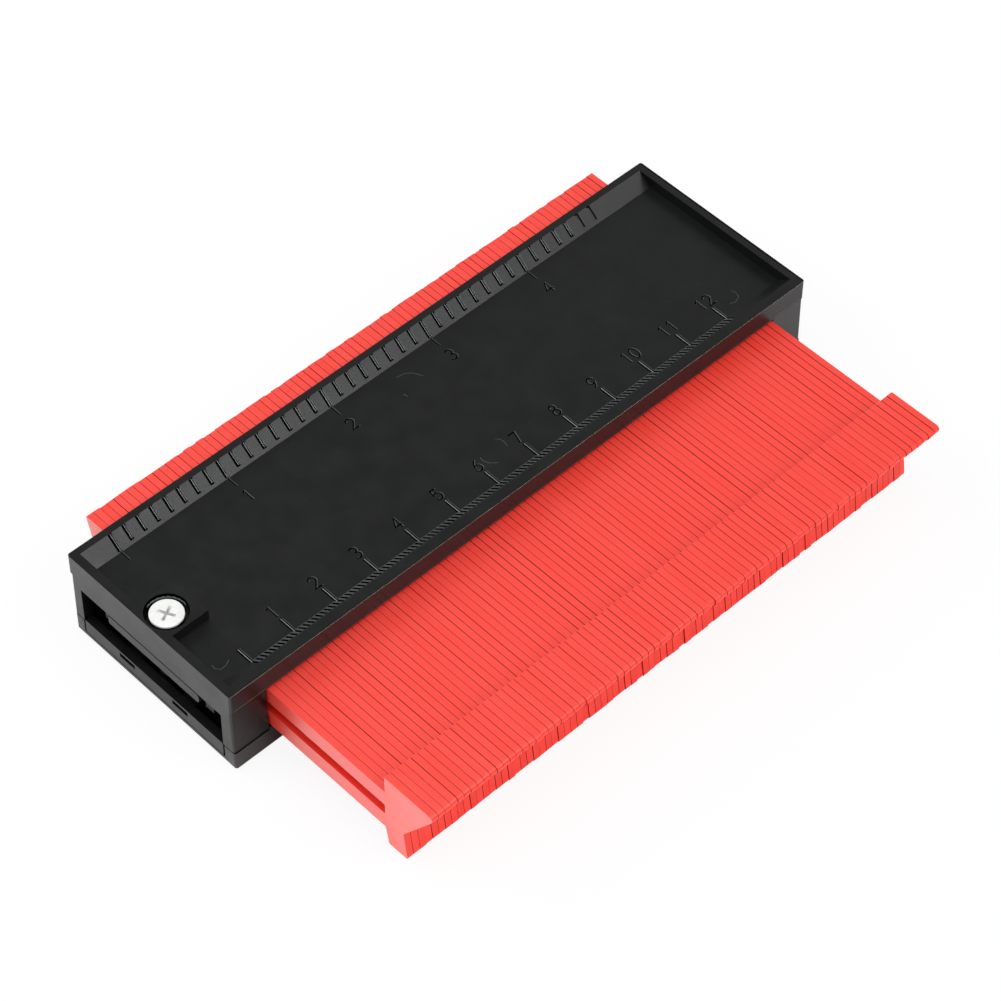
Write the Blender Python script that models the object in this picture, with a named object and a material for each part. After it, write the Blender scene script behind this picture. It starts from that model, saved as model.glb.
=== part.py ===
"""Contour gauge: a stack of thin slotted pins that slide through a two-part plastic body.

X runs along the body, Y is the way that the pins slide, with their noses towards -Y, and Z is up.
The origin is the centre of the underside. Sizes are in metres.
"""
import math

import bmesh
import bpy
from mathutils import Matrix, Vector
from mathutils.geometry import tessellate_polygon

MM = 0.001

# Body outline
BODY_LENGTH = 145.6 * MM
BODY_WIDTH = 44.4 * MM          # across the rim band
BODY_HEIGHT = 21.7 * MM
BODY_CORNER = 0.5 * MM          # radius of the upright corners
BASE_BEVEL = 1.3 * MM           # rounding round the underside
BAND_HEIGHT = 4.75 * MM         # rim band round the top
NEAR_OVERHANG = 0.2 * MM        # how far the band stands out over the skirt, at -Y
FAR_OVERHANG = 0.55 * MM        # the same at +Y
SKIRT_FLARE = 0.25 * MM         # how much further out the skirt is at the seam
NEAR_STEP = 0.2 * MM            # how far the lower cover stands out from the skirt, at -Y
FAR_STEP = 0.05 * MM            # the same at +Y

# Tray in the top, with a sloped scale along each long side
TRAY_DEPTH = 2.5 * MM
TRAY_FLOOR = 1.3 * MM
END_RIM = 1.8 * MM
NEAR_RIM = 2.1 * MM
NEAR_SLOPE = 3.05 * MM
FAR_RIM = 1.5 * MM
FAR_SLOPE = 3.05 * MM

# Notches of the inch scale in the far slope
NOTCHES_PER_INCH = 8
INCH = 25.4 * MM
INCH_ZERO_INSET = 8.7 * MM      # from the body's left end to the zero notch
INCH_SCALE_BLANK = 15.6 * MM    # least length without notches at the right end
NOTCH_WIDTH = 0.85 * MM
NOTCH_DEPTH = 0.4 * MM
SHORT_NOTCH = 0.78              # share of the slope that a notch runs down
LONG_NOTCH = 0.97               # the same at a whole inch

# Walls and seams of the two covers
SKIRT_WALL = 1.4 * MM
END_WALL = 1.8 * MM
SIDE_INSET = 2.35 * MM          # from the band's side to the inside of the side walls
CROSS_WALL = 1.0 * MM           # beside the stack of pins
FLOOR_WALL = 2.0 * MM
SEAM_HEIGHT = 5.6 * MM
SEAM_GAP = 0.25 * MM
FIT_GAP = 0.3 * MM              # between pieces that seat on each other

# Window in each end wall, and the strip below it
WINDOW_INSET = 2.9 * MM         # from the band's side to a window
WINDOW_DROP = 7.5 * MM          # from the rim down to the window's top
STRIP_BOTTOM = 2.25 * MM
STRIP_SIDE_GAP = 0.15 * MM      # between the strip's ends and the corner posts
EAR_DEPTH = 0.7 * MM            # the ears join the strip to the corner posts
EAR_REACH = 0.9 * MM

# Snap tongues of the lower cover, in slots of the strip
SNAP_SPACING = 14.7 * MM
SNAP_SLOT_WIDTH = 4.2 * MM
SNAP_SLOT_HEIGHT = 1.1 * MM
SNAP_HEIGHT = 4.5 * MM
TONGUE_WALL = 0.8 * MM
BARB_HEIGHT = 0.5 * MM
BARB_REACH = 1.1 * MM

# Pins
PIN_COUNT = 84
PINS_PER_PIECE = 2
STACK_INSET = 8.54 * MM         # from the body's end to the first pin
STACK_END_GAP = 0.35 * MM
PIN_SIDE_GAP = 0.05 * MM        # running gap between neighbouring pieces
SILL_TOP = 6.05 * MM            # the blades run over the sills of the lower cover
BLADE_HEADROOM = 1.25 * MM      # between the blades and the tray
BLADE_SLOT = 2.6 * MM
PIN_TRAVEL = 30.0 * MM
STOP_GAP = 0.3 * MM             # between a head and the band that stops it
HEAD_STEP = 4.3 * MM            # how far the heads stand out over and under the blade
NOSE_LENGTH = 12.9 * MM         # from the head's inner face to the corner of the nose
NOSE_RADIUS = 0.8 * MM
LUG_FOOT = 5.7 * MM             # length of the lug at its bottom
LUG_NECK = 4.75 * MM            # length of the lug where the nose begins
LUG_NECK_HEIGHT = 6.7 * MM      # height of that place above the lug's bottom
LUG_RAKE = 0.6 * MM             # slant of the lug's inner face
LUG_CHAMFER = 0.4 * MM
TAIL_LENGTH = 5.0 * MM          # head at the far end
TAIL_RAKE = 1.2 * MM
TAIL_RAKE_HEIGHT = 5.0 * MM
GROOVE_DEPTH = 0.22 * MM        # parting line between two pins
GROOVE_WIDTH = 0.18 * MM

# Guide bar through all the slots
GUIDE_WIDTH = 25.0 * MM
GUIDE_GAP = 0.2 * MM
GUIDE_SET_BACK = 0.55 * MM      # its ends lie this far inside the windows
GUIDE_RIB_WIDTH = 2.2 * MM
GUIDE_RIB_DEPTH = 1.8 * MM
GUIDE_RIB_DROP = 1.65 * MM      # how far the ribs beside the bar reach below it
GUIDE_CHAMFER = 0.4 * MM

# Friction pads
PAD_GAP = 0.25 * MM
UPPER_PAD_WIDTH = 16.0 * MM
LOWER_PAD_WIDTH = 18.0 * MM
LOWER_PAD_THICKNESS = 2.0 * MM
PAD_END_MARGIN = 1.0 * MM
PAD_RIB_WALL = 1.2 * MM
PAD_RIB_SPACING = 7.0 * MM
PAD_RIB_COUNT = 3

# Tension screw, its platform and the bosses at both ends
SCREW_INSET = 4.55 * MM         # from the body's end to the screw's axis
SCREW_HEAD_RADIUS = 3.25 * MM
SCREW_HEAD_DROP = 0.4 * MM      # from the rim down to the head's flat top
SCREW_HEAD_CHAMFER = 0.1 * MM
SCREW_HEAD_EDGE = 0.4 * MM      # thickness of the head where its cone starts
SCREW_SHANK_RADIUS = 1.1 * MM
SCREW_TIP_RADIUS = 0.65 * MM
SCREW_TIP_HEIGHT = 3.6 * MM
SCREW_RECESS_RADIUS = 4.0 * MM
CROSS_LENGTH = 3.2 * MM
CROSS_WIDTH = 0.7 * MM
CROSS_DEPTH = 0.8 * MM
BOSS_RADIUS = 2.3 * MM
PEG_RISE = 2.0 * MM             # how far the right boss's peg stands above the guide bar
PLATFORM_LENGTH = 8.4 * MM
PLATFORM_WIDTH = 9.6 * MM

ROUND_STEPS = 24
CORNER_STEPS = 4                # facets of an upright corner
NOSE_STEPS = 3
OVERCUT = 2.0 * MM              # how far a cutter runs past the face that it opens

# Places worked out from the sizes above
HALF_LENGTH = BODY_LENGTH / 2
BAND_HALF_WIDTH = BODY_WIDTH / 2
SKIRT_TOP = (-BAND_HALF_WIDTH + NEAR_OVERHANG, BAND_HALF_WIDTH - FAR_OVERHANG)
SKIRT_FOOT = (SKIRT_TOP[0] - SKIRT_FLARE, SKIRT_TOP[1] + SKIRT_FLARE)
LOWER_SIDES = (SKIRT_FOOT[0] - NEAR_STEP, SKIRT_FOOT[1] + FAR_STEP)
SIDE_INNER = BAND_HALF_WIDTH - SIDE_INSET
BAND_BOTTOM = BODY_HEIGHT - BAND_HEIGHT
TRAY_TOP = BODY_HEIGHT - TRAY_DEPTH
TRAY_UNDERSIDE = TRAY_TOP - TRAY_FLOOR
STACK_HALF = HALF_LENGTH - STACK_INSET
PIN_PITCH = 2 * STACK_HALF / PIN_COUNT
CHANNEL_HALF = STACK_HALF + STACK_END_GAP
CHAMBER_INNER = CHANNEL_HALF + CROSS_WALL
CHAMBER_OUTER = HALF_LENGTH - END_WALL
WINDOW_HALF = BAND_HALF_WIDTH - WINDOW_INSET
WINDOW_TOP = BODY_HEIGHT - WINDOW_DROP
NOTCH_COUNT = int((BODY_LENGTH - INCH_ZERO_INSET - INCH_SCALE_BLANK) / (INCH / NOTCHES_PER_INCH)) + 1
BLADE_TOP = TRAY_UNDERSIDE - BLADE_HEADROOM
BLADE_BOTTOM = SILL_TOP + FIT_GAP
HEAD_TOP = BLADE_TOP + HEAD_STEP
HEAD_BOTTOM = BLADE_BOTTOM - HEAD_STEP
SLOT_TOP = (BLADE_TOP + BLADE_BOTTOM + BLADE_SLOT) / 2
SLOT_BOTTOM = SLOT_TOP - BLADE_SLOT
HEAD_FACE = -(BAND_HALF_WIDTH + STOP_GAP + PIN_TRAVEL)
TAIL_FACE = BAND_HALF_WIDTH + STOP_GAP
GUIDE_TOP = SLOT_TOP - GUIDE_GAP
GUIDE_BOTTOM = SLOT_BOTTOM + GUIDE_GAP
SCREW_X = -(HALF_LENGTH - SCREW_INSET)
BORE_RADIUS = SCREW_SHANK_RADIUS + FIT_GAP


def clear_scene():
    """Start from an empty scene."""
    for obj in list(bpy.data.objects):
        bpy.data.objects.remove(obj, do_unlink=True)


def material(name, colour, roughness, metallic=0.0):
    """A plain Principled material."""
    mat = bpy.data.materials.new(name)
    mat.use_nodes = True
    shader = mat.node_tree.nodes["Principled BSDF"]
    shader.inputs["Base Color"].default_value = (*colour, 1.0)
    shader.inputs["Roughness"].default_value = roughness
    shader.inputs["Metallic"].default_value = metallic
    return mat


def add_object(name, bm, mat=None):
    """Turn a bmesh into an object with its faces pointing out."""
    bmesh.ops.recalc_face_normals(bm, faces=bm.faces[:])
    mesh = bpy.data.meshes.new(name)
    bm.to_mesh(mesh)
    bm.free()
    obj = bpy.data.objects.new(name, mesh)
    bpy.context.scene.collection.objects.link(obj)
    if mat is not None:
        mesh.materials.append(mat)
    return obj


def extrude_loop(points, offset):
    """A bmesh prism from a closed loop of points, pushed along an offset."""
    bm = bmesh.new()
    face = bm.faces.new([bm.verts.new(point) for point in points])
    grown = bmesh.ops.extrude_face_region(bm, geom=[face])
    moved = [item for item in grown["geom"] if isinstance(item, bmesh.types.BMVert)]
    bmesh.ops.translate(bm, verts=moved, vec=offset)
    return bm


def box(x, y, z, name="box", mat=None):
    """A box between pairs of limits."""
    corners = [(x[0], y[0], z[0]), (x[1], y[0], z[0]), (x[1], y[1], z[0]), (x[0], y[1], z[0])]
    return add_object(name, extrude_loop(corners, (0, 0, z[1] - z[0])), mat)


def slab(levels, name="slab", mat=None):
    """Rectangles with rounded corners, one above another; a level is (half length, Y limits, height)."""
    bm = bmesh.new()
    rings = []
    for half_x, y, z in levels:
        ring = []
        for sign_x, sign_y, start in ((1, 1, 0), (-1, 1, 90), (-1, -1, 180), (1, -1, 270)):
            centre_x = sign_x * (half_x - BODY_CORNER)
            centre_y = y[1] - BODY_CORNER if sign_y > 0 else y[0] + BODY_CORNER
            for step in range(CORNER_STEPS + 1):
                angle = math.radians(start + 90 * step / CORNER_STEPS)
                ring.append(bm.verts.new((centre_x + BODY_CORNER * math.cos(angle),
                                          centre_y + BODY_CORNER * math.sin(angle), z)))
        rings.append(ring)
    bm.faces.new(rings[0])
    bm.faces.new(rings[-1])
    for low, high in zip(rings, rings[1:]):
        for index in range(len(low)):
            bm.faces.new((low[index - 1], low[index], high[index], high[index - 1]))
    return add_object(name, bm, mat)


def along_x(profile, x, name="bar", mat=None):
    """A (y, z) profile pushed along X."""
    points = [(x[0], y, z) for y, z in profile]
    return add_object(name, extrude_loop(points, (x[1] - x[0], 0, 0)), mat)


def cylinder(centre, radius, z, name="cylinder", mat=None):
    """An upright cylinder."""
    points = []
    for step in range(ROUND_STEPS):
        angle = 2 * math.pi * step / ROUND_STEPS
        points.append((centre[0] + radius * math.cos(angle), centre[1] + radius * math.sin(angle), z[0]))
    return add_object(name, extrude_loop(points, (0, 0, z[1] - z[0])), mat)


def turned(profile, centre, name, mat):
    """A (radius, z) profile turned about an upright axis; its ends lie on the axis."""
    bm = bmesh.new()
    verts = [bm.verts.new((radius, 0, z)) for radius, z in profile]
    edges = [bm.edges.new(pair) for pair in zip(verts, verts[1:])]
    bmesh.ops.spin(bm, geom=verts + edges, cent=(0, 0, 0), axis=(0, 0, 1), angle=2 * math.pi,
                   steps=ROUND_STEPS, use_duplicate=False)
    bmesh.ops.remove_doubles(bm, verts=bm.verts[:], dist=0.001 * MM)
    bmesh.ops.translate(bm, verts=bm.verts[:], vec=(centre[0], centre[1], 0))
    return add_object(name, bm, mat)


def combine(target, tools, operation):
    """Apply one Boolean after another to the target and remove the tools."""
    for tool in tools:
        cut = target.modifiers.new("Boolean", "BOOLEAN")
        cut.operation = operation
        cut.solver = "EXACT"
        cut.object = tool
        graph = bpy.context.evaluated_depsgraph_get()
        result = bpy.data.meshes.new_from_object(target.evaluated_get(graph))
        target.modifiers.clear()
        old = target.data
        target.data = result
        bpy.data.meshes.remove(old)
        bpy.data.objects.remove(tool, do_unlink=True)


def joined(objects):
    """One object from several that stand clear of each other."""
    bm = bmesh.new()
    for obj in objects:
        bm.from_mesh(obj.data)
        bpy.data.objects.remove(obj, do_unlink=True)
    return add_object("joined", bm)


def both_ends(maker):
    """What maker(sign) builds, at the left end and at the right end."""
    return [tool for sign in (-1, 1) for tool in maker(sign)]


def span(sign, low, high):
    """Limits from low to high on the side that the sign says."""
    return (sign * low, sign * high) if sign > 0 else (sign * high, sign * low)


def strip_snaps(sign, low, high, width, z):
    """A box at each of the two snap places of one end."""
    boxes = []
    for side in (-1, 1):
        middle = side * SNAP_SPACING / 2
        boxes.append(box(span(sign, low, high), (middle - width / 2, middle + width / 2), z))
    return boxes


def inch_notches():
    """Cutters for the notches of the inch scale; each starts at the far rim's inner edge."""
    crest = Vector((BAND_HALF_WIDTH - FAR_RIM, BODY_HEIGHT))
    foot = Vector((crest.x - FAR_SLOPE, TRAY_TOP))
    along = (foot - crest).normalized()
    inward = Vector((-along.y, along.x))
    top = BODY_HEIGHT + OVERCUT
    wall_z = crest.y + inward.y * NOTCH_DEPTH + along.y * (inward.x * NOTCH_DEPTH / -along.x)
    cutters = []
    for index in range(NOTCH_COUNT):
        share = SHORT_NOTCH if index % NOTCHES_PER_INCH else LONG_NOTCH
        end = crest.lerp(foot, share)
        bottom = end + inward * NOTCH_DEPTH
        outside = end - inward * OVERCUT
        middle = -HALF_LENGTH + INCH_ZERO_INSET + index * INCH / NOTCHES_PER_INCH
        profile = [(crest.x, top), (crest.x, wall_z), tuple(bottom), tuple(outside), (outside.x, top)]
        cutters.append(along_x(profile, (middle - NOTCH_WIDTH / 2, middle + NOTCH_WIDTH / 2)))
    return cutters


def make_upper_cover(mat):
    """Upper shell: rim band, scale tray, screw platform, end walls with windows and strips."""
    band = (-BAND_HALF_WIDTH, BAND_HALF_WIDTH)
    cover = slab([(HALF_LENGTH, band, BAND_BOTTOM), (HALF_LENGTH, band, BODY_HEIGHT)], "upper_cover", mat)
    skirt = slab([(HALF_LENGTH, SKIRT_FOOT, SEAM_HEIGHT), (HALF_LENGTH, SKIRT_TOP, BAND_BOTTOM + OVERCUT)])
    combine(cover, [skirt], "UNION")

    # the channel for the pins, and the shallow space under the tray between the skirts
    reach = BAND_HALF_WIDTH + OVERCUT
    inner = BAND_HALF_WIDTH - SKIRT_WALL
    channel = box((-CHANNEL_HALF, CHANNEL_HALF), (-reach, reach), (SEAM_HEIGHT - OVERCUT, BAND_BOTTOM))
    under_tray = box((-CHANNEL_HALF, CHANNEL_HALF), (-inner, inner), (BAND_BOTTOM - OVERCUT, TRAY_UNDERSIDE))
    combine(cover, [channel, under_tray], "DIFFERENCE")

    def chamber(sign):
        return [box(span(sign, CHAMBER_INNER, CHAMBER_OUTER), (-SIDE_INNER, SIDE_INNER),
                    (SEAM_HEIGHT - OVERCUT, TRAY_UNDERSIDE))]

    def strip_and_ears(sign):
        half = WINDOW_HALF - STRIP_SIDE_GAP
        strip = box(span(sign, CHAMBER_OUTER, HALF_LENGTH), (-half, half), (STRIP_BOTTOM, SEAM_HEIGHT))
        reach = WINDOW_HALF + EAR_REACH
        ears = box(span(sign, CHAMBER_OUTER, CHAMBER_OUTER + EAR_DEPTH), (-reach, reach),
                   (STRIP_BOTTOM, SEAM_HEIGHT + OVERCUT))
        return [strip, ears]

    def window(sign):
        return [box(span(sign, CHAMBER_OUTER - OVERCUT, HALF_LENGTH + OVERCUT), (-WINDOW_HALF, WINDOW_HALF),
                    (SEAM_HEIGHT, WINDOW_TOP))]

    def snap_slots(sign):
        z = (SNAP_HEIGHT - SNAP_SLOT_HEIGHT / 2, SNAP_HEIGHT + SNAP_SLOT_HEIGHT / 2)
        return strip_snaps(sign, CHAMBER_OUTER - OVERCUT, HALF_LENGTH + OVERCUT, SNAP_SLOT_WIDTH, z)

    def boss_and_ribs(sign):
        x = sign * abs(SCREW_X)
        boss = cylinder((x, 0), BOSS_RADIUS, (GUIDE_TOP + FIT_GAP, TRAY_UNDERSIDE + TRAY_FLOOR / 2))
        start = GUIDE_WIDTH / 2 + FIT_GAP
        ribs = []
        for side in (-1, 1):
            ribs.append(box(span(sign, CHAMBER_OUTER - GUIDE_RIB_DEPTH, CHAMBER_OUTER),
                            span(side, start, start + GUIDE_RIB_WIDTH),
                            (GUIDE_BOTTOM - GUIDE_RIB_DROP, TRAY_UNDERSIDE + TRAY_FLOOR / 2)))
        return [boss] + ribs

    def guide_hole(sign):
        half = GUIDE_WIDTH / 2 + FIT_GAP
        return [box(span(sign, CHANNEL_HALF - OVERCUT, CHAMBER_INNER + CROSS_WALL / 2), (-half, half),
                    (GUIDE_BOTTOM - FIT_GAP, GUIDE_TOP + FIT_GAP))]

    combine(cover, both_ends(chamber), "DIFFERENCE")
    combine(cover, both_ends(strip_and_ears), "UNION")
    combine(cover, both_ends(window), "DIFFERENCE")
    combine(cover, both_ends(snap_slots), "DIFFERENCE")
    combine(cover, both_ends(boss_and_ribs), "UNION")
    combine(cover, both_ends(guide_hole), "DIFFERENCE")

    # the tray, which leaves the screw's platform standing level with the rim
    near_edge = -BAND_HALF_WIDTH + NEAR_RIM
    far_edge = BAND_HALF_WIDTH - FAR_RIM
    rise = OVERCUT / TRAY_DEPTH
    top = BODY_HEIGHT + OVERCUT
    tray = along_x([(near_edge + NEAR_SLOPE, TRAY_TOP), (far_edge - FAR_SLOPE, TRAY_TOP),
                    (far_edge + FAR_SLOPE * rise, top), (near_edge - NEAR_SLOPE * rise, top)],
                   (-HALF_LENGTH + END_RIM, HALF_LENGTH - END_RIM))
    platform = box((-HALF_LENGTH, -HALF_LENGTH + END_RIM + PLATFORM_LENGTH),
                   (-PLATFORM_WIDTH / 2, PLATFORM_WIDTH / 2), (TRAY_TOP - OVERCUT, top + OVERCUT))
    combine(tray, [platform], "DIFFERENCE")
    recess = cylinder((SCREW_X, 0), SCREW_RECESS_RADIUS, (TRAY_TOP, BODY_HEIGHT + OVERCUT))
    screw_bore = cylinder((SCREW_X, 0), BORE_RADIUS, (GUIDE_TOP, BODY_HEIGHT))
    peg_bore = cylinder((-SCREW_X, 0), BORE_RADIUS, (GUIDE_TOP, TRAY_UNDERSIDE))
    combine(cover, [tray, recess, screw_bore, peg_bore], "DIFFERENCE")
    combine(cover, [joined(inch_notches())], "DIFFERENCE")
    return cover


def make_lower_cover(mat):
    """Lower shell: floor, sills under the pins, corner blocks, snap tongues, bosses and pad ribs."""
    levels = []
    for degrees in (0, 45, 90):
        inset = BASE_BEVEL * (1 - math.sin(math.radians(degrees)))
        height = BASE_BEVEL * (1 - math.cos(math.radians(degrees)))
        levels.append((HALF_LENGTH - inset, (LOWER_SIDES[0] + inset, LOWER_SIDES[1] - inset), height))
    levels.append((HALF_LENGTH, LOWER_SIDES, SILL_TOP))
    cover = slab(levels, "lower_cover", mat)

    top = SILL_TOP + OVERCUT
    hollow = box((-CHAMBER_OUTER + FIT_GAP + TONGUE_WALL, CHAMBER_OUTER - FIT_GAP - TONGUE_WALL),
                 (-SIDE_INNER, SIDE_INNER), (FLOOR_WALL, top))
    combine(cover, [hollow], "DIFFERENCE")

    def above_seam(sign):
        reach = BAND_HALF_WIDTH + OVERCUT
        return [box(span(sign, CHANNEL_HALF, HALF_LENGTH + OVERCUT), (-reach, reach),
                    (SEAM_HEIGHT - SEAM_GAP, top))]

    def strip_pocket(sign):
        half = WINDOW_HALF + SEAM_GAP
        ear_outer = CHAMBER_OUTER + EAR_DEPTH + SEAM_GAP
        start = CHAMBER_OUTER - FIT_GAP - TONGUE_WALL - SEAM_GAP
        strip = box(span(sign, start, HALF_LENGTH + OVERCUT), (-half, half), (FLOOR_WALL, top))
        ears = box(span(sign, start, ear_outer), (-half - EAR_REACH, half + EAR_REACH), (FLOOR_WALL, top))
        return [strip, ears]

    def tongues(sign):
        width = SNAP_SLOT_WIDTH - 2 * FIT_GAP
        outer = CHAMBER_OUTER - FIT_GAP
        posts = strip_snaps(sign, outer - TONGUE_WALL, outer, width,
                            (FLOOR_WALL / 2, SNAP_HEIGHT + BARB_HEIGHT))
        barbs = strip_snaps(sign, outer - TONGUE_WALL / 2, outer + BARB_REACH, width,
                            (SNAP_HEIGHT - BARB_HEIGHT / 2, SNAP_HEIGHT + BARB_HEIGHT / 2))
        return posts + barbs

    def boss(sign):
        return [cylinder((sign * abs(SCREW_X), 0), BOSS_RADIUS, (FLOOR_WALL / 2, GUIDE_BOTTOM - FIT_GAP))]

    combine(cover, both_ends(above_seam), "DIFFERENCE")
    combine(cover, both_ends(strip_pocket), "DIFFERENCE")
    combine(cover, both_ends(tongues), "UNION")
    combine(cover, both_ends(boss), "UNION")

    rib_top = BLADE_BOTTOM - PAD_GAP - LOWER_PAD_THICKNESS - FIT_GAP
    rib_half = STACK_HALF - PAD_END_MARGIN
    ribs = []
    for index in range(PAD_RIB_COUNT):
        middle = (index - (PAD_RIB_COUNT - 1) / 2) * PAD_RIB_SPACING
        ribs.append(box((-rib_half, rib_half), (middle - PAD_RIB_WALL / 2, middle + PAD_RIB_WALL / 2),
                        (FLOOR_WALL / 2, rib_top)))
    peg = cylinder((-SCREW_X, 0), SCREW_SHANK_RADIUS, (FLOOR_WALL / 2, GUIDE_TOP + PEG_RISE))
    combine(cover, ribs + [peg], "UNION")
    screw_bore = cylinder((SCREW_X, 0), BORE_RADIUS, (SCREW_TIP_HEIGHT - FIT_GAP, GUIDE_BOTTOM))
    combine(cover, [screw_bore], "DIFFERENCE")
    return cover


def make_guide_bar(mat):
    """Flat bar through the slots of all the pins; the screw and the peg pass through its ends."""
    half = GUIDE_WIDTH / 2
    c = GUIDE_CHAMFER
    profile = [(-half + c, GUIDE_BOTTOM), (half - c, GUIDE_BOTTOM), (half, GUIDE_BOTTOM + c),
               (half, GUIDE_TOP - c), (half - c, GUIDE_TOP), (-half + c, GUIDE_TOP),
               (-half, GUIDE_TOP - c), (-half, GUIDE_BOTTOM + c)]
    end = HALF_LENGTH - GUIDE_SET_BACK
    bar = along_x(profile, (-end, end), "guide_bar", mat)
    holes = [cylinder((x, 0), BORE_RADIUS, (GUIDE_BOTTOM - OVERCUT, GUIDE_TOP + OVERCUT))
             for x in (SCREW_X, -SCREW_X)]
    combine(bar, holes, "DIFFERENCE")
    return bar


def make_pads(mat):
    """Strips above and below the blades, which rub on them so that the pins stay where they are put."""
    half = STACK_HALF - PAD_END_MARGIN
    box((-half, half), (-UPPER_PAD_WIDTH / 2, UPPER_PAD_WIDTH / 2),
        (BLADE_TOP + PAD_GAP, TRAY_UNDERSIDE - PAD_GAP), "friction_pad_upper", mat)
    top = BLADE_BOTTOM - PAD_GAP
    box((-half, half), (-LOWER_PAD_WIDTH / 2, LOWER_PAD_WIDTH / 2),
        (top - LOWER_PAD_THICKNESS, top), "friction_pad_lower", mat)


def make_screw(mat):
    """Flat-head screw with a cone under the head and a cross recess; its origin lies on its own axis."""
    top = BODY_HEIGHT - SCREW_HEAD_DROP
    profile = [(0, top), (SCREW_HEAD_RADIUS - SCREW_HEAD_CHAMFER, top),
               (SCREW_HEAD_RADIUS, top - SCREW_HEAD_CHAMFER), (SCREW_HEAD_RADIUS, top - SCREW_HEAD_EDGE),
               (SCREW_SHANK_RADIUS, TRAY_TOP + FIT_GAP),
               (SCREW_SHANK_RADIUS, SCREW_TIP_HEIGHT + SCREW_TIP_RADIUS),
               (SCREW_TIP_RADIUS, SCREW_TIP_HEIGHT), (0, SCREW_TIP_HEIGHT)]
    screw = turned(profile, (0, 0), "tension_screw", mat)
    bars = []
    for length, width in ((CROSS_LENGTH, CROSS_WIDTH), (CROSS_WIDTH, CROSS_LENGTH)):
        bars.append(box((-length / 2, length / 2), (-width / 2, width / 2),
                        (top - CROSS_DEPTH, top + OVERCUT)))
    combine(screw, bars, "DIFFERENCE")
    screw.location = (SCREW_X, 0, 0)
    return screw


def rounded(before, corner, after, radius, steps):
    """Points of an arc that rounds the corner between its two neighbours."""
    a = (Vector(before) - Vector(corner)).normalized()
    b = (Vector(after) - Vector(corner)).normalized()
    half = a.angle(b) / 2
    centre = Vector(corner) + (a + b).normalized() * (radius / math.sin(half))
    start = Vector(corner) + a * (radius / math.tan(half)) - centre
    end = Vector(corner) + b * (radius / math.tan(half)) - centre
    turn = start.angle_signed(end)
    points = []
    for step in range(steps + 1):
        arm = start.copy()
        arm.rotate(Matrix.Rotation(-turn * step / steps, 2))
        points.append(tuple(centre + arm))
    return points


def pin_outline():
    """Side view of a pin as (y, z) points: nose and lug at -Y, the tail head at +Y."""
    nose = (HEAD_FACE - NOSE_LENGTH, HEAD_TOP)
    neck = (HEAD_FACE - LUG_NECK, HEAD_BOTTOM + LUG_NECK_HEIGHT)
    foot = (HEAD_FACE - LUG_FOOT, HEAD_BOTTOM)
    head_corner = (HEAD_FACE, HEAD_TOP)
    tail_end = TAIL_FACE + TAIL_LENGTH
    outline = [head_corner]
    outline += rounded(head_corner, nose, neck, NOSE_RADIUS, NOSE_STEPS)
    outline += [neck, foot,
                (HEAD_FACE - LUG_RAKE - LUG_CHAMFER, HEAD_BOTTOM),
                (HEAD_FACE - LUG_RAKE, HEAD_BOTTOM + LUG_CHAMFER),
                (HEAD_FACE, BLADE_BOTTOM), (TAIL_FACE, BLADE_BOTTOM),
                (TAIL_FACE, HEAD_BOTTOM), (tail_end - TAIL_RAKE, HEAD_BOTTOM),
                (tail_end - TAIL_RAKE, HEAD_TOP - TAIL_RAKE_HEIGHT), (tail_end, HEAD_TOP),
                (TAIL_FACE, HEAD_TOP), (TAIL_FACE, BLADE_TOP), (HEAD_FACE, BLADE_TOP)]
    return outline


def pin_slot():
    """The slot along the blade, from head to head."""
    return [(HEAD_FACE, SLOT_TOP), (HEAD_FACE, SLOT_BOTTOM), (TAIL_FACE, SLOT_BOTTOM), (TAIL_FACE, SLOT_TOP)]


def shrunk(outline, depth):
    """The outline with every side moved in by a depth."""
    points = [Vector(point) for point in outline]
    area = sum(a.x * b.y - b.x * a.y for a, b in zip(points, points[1:] + points[:1]))
    side = 1 if area > 0 else -1
    result = []
    for index, point in enumerate(points):
        before = (point - points[index - 1]).normalized()
        after = (points[(index + 1) % len(points)] - point).normalized()
        normal_a = Vector((-before.y, before.x)) * side
        normal_b = Vector((-after.y, after.x)) * side
        middle = (normal_a + normal_b).normalized()
        result.append(tuple(point + middle * (depth / middle.dot(normal_a))))
    return result


def pin_piece_mesh(mat):
    """Two neighbouring pins side by side, with a parting groove round the outside between them."""
    outline = pin_outline()
    slot = pin_slot()
    groove = shrunk(outline, GROOVE_DEPTH)
    half = PINS_PER_PIECE * PIN_PITCH / 2 - PIN_SIDE_GAP / 2
    stations = [(-half, outline)]
    for index in range(1, PINS_PER_PIECE):
        parting = (index - PINS_PER_PIECE / 2) * PIN_PITCH
        stations += [(parting - GROOVE_WIDTH / 2, outline), (parting, groove),
                     (parting + GROOVE_WIDTH / 2, outline)]
    stations.append((half, outline))

    bm = bmesh.new()
    loops = [[bm.verts.new((x, y, z)) for y, z in loop] for x, loop in stations]
    slots = [[bm.verts.new((x, y, z)) for y, z in slot] for x in (-half, half)]
    for rows in (loops, slots):
        for low, high in zip(rows, rows[1:]):
            for index in range(len(low)):
                bm.faces.new((low[index - 1], low[index], high[index], high[index - 1]))
    for verts in (loops[0] + slots[0], loops[-1] + slots[-1]):
        rings = [[Vector((y, z, 0)) for y, z in ring] for ring in (outline, slot)]
        for triangle in tessellate_polygon(rings):
            bm.faces.new([verts[index] for index in triangle])
    bmesh.ops.recalc_face_normals(bm, faces=bm.faces[:])
    mesh = bpy.data.meshes.new("pin_pair")
    bm.to_mesh(mesh)
    bm.free()
    mesh.materials.append(mat)
    return mesh


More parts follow.
